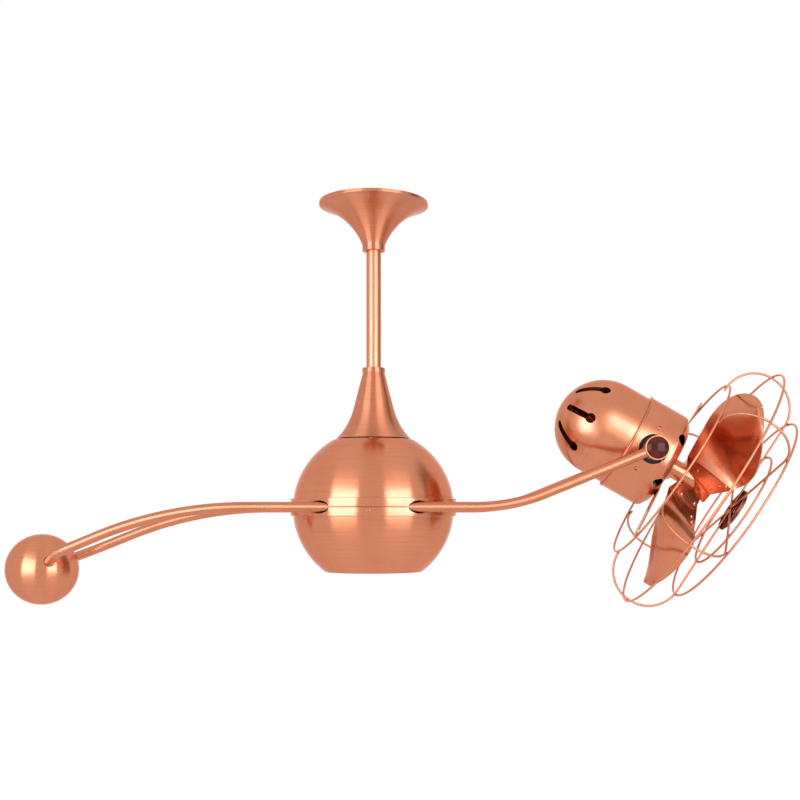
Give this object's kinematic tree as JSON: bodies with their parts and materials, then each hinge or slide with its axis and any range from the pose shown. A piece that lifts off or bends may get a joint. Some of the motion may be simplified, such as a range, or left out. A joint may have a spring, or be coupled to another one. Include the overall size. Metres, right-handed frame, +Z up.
{
  "type": "ceiling fan",
  "caption": "Copper ceiling fan: caged tilting head and ball counterweight on twin curved tubes through a globe under a downrod.",
  "frame": {"origin": "middle of the ceiling bracket's top face, where the canopy's rim meets the ceiling", "axes": "+Z up, +X along the arm towards the fan head, -Y towards the side seen in the picture"},
  "size_m": [1.1425, 0.3946, 0.5876],
  "materials": {
    "copper": "brushed",
    "steel": "satin",
    "cast_iron": "matte",
    "winding": "gloss",
    "bronze": "satin",
    "cabochon": "gloss"
  },
  "bodies": {
    "fixed": {"ceiling_bracket": "steel", "canopy": "copper", "canopy_set_screw": "steel", "hanger_ball": "steel", "hanger_pin": "steel", "downrod": "copper", "coupling_pin": "steel", "neck_cover": "copper", "neck_set_screw": "steel", "spindle": "steel", "turn_stator": "winding", "upper_bearing": "steel", "lower_bearing": "steel", "spindle_nut": "steel"},
    "turning": {"globe_upper": "copper", "globe_lower": "copper", "top_plate": "cast_iron", "top_screws": "steel", "band_screws": "copper", "arm_hub": "cast_iron", "turn_rotor": "cast_iron", "tube_clamps": "cast_iron", "clamp_screws": "steel", "front_tube": "copper", "rear_tube": "copper", "ball_shell": "copper", "ball_weight": "cast_iron", "front_boss": "copper", "rear_boss": "copper", "front_cap": "cabochon", "rear_cap": "cabochon", "pivot_bolts": "steel"},
    "head": {"pivot_washers": "steel", "pivot_nuts": "steel", "motor_dome": "copper", "motor_casing": "copper", "pivot_plates": "cast_iron", "motor_ring": "cast_iron", "motor_screws": "copper", "motor_stator": "winding", "rear_bell": "cast_iron", "front_bell": "cast_iron", "rear_bush": "bronze", "front_bush": "bronze", "guard_rear_ring": "copper", "guard_mid_ring": "copper", "guard_front_ring": "copper", "guard_inner_ring": "copper", "guard_bows": "copper", "guard_struts": "copper", "guard_badge": "copper"},
    "rotor": {"motor_shaft": "steel", "motor_rotor": "cast_iron", "blade_hub": "copper", "blade_1": "copper", "blade_2": "copper", "blade_3": "copper", "blade_rivets": "copper"}
  },
  "joints": [
    {"name": "globe_turn", "type": "hinge", "parent": "fixed", "child": "turning", "pos_m": [0, 0, -0.443], "axis": [0, 0, 1], "continuous": true},
    {"name": "head_tilt", "type": "hinge", "parent": "turning", "child": "head", "pos_m": [0.3946, 0, -0.362], "axis": [0, 1, 0], "range_deg": [-60, 45]},
    {"name": "blade_spin", "type": "hinge", "parent": "head", "child": "rotor", "pos_m": [0.3946, 0, -0.362], "axis": [0.8678, 0, -0.497], "continuous": true}
  ]
}
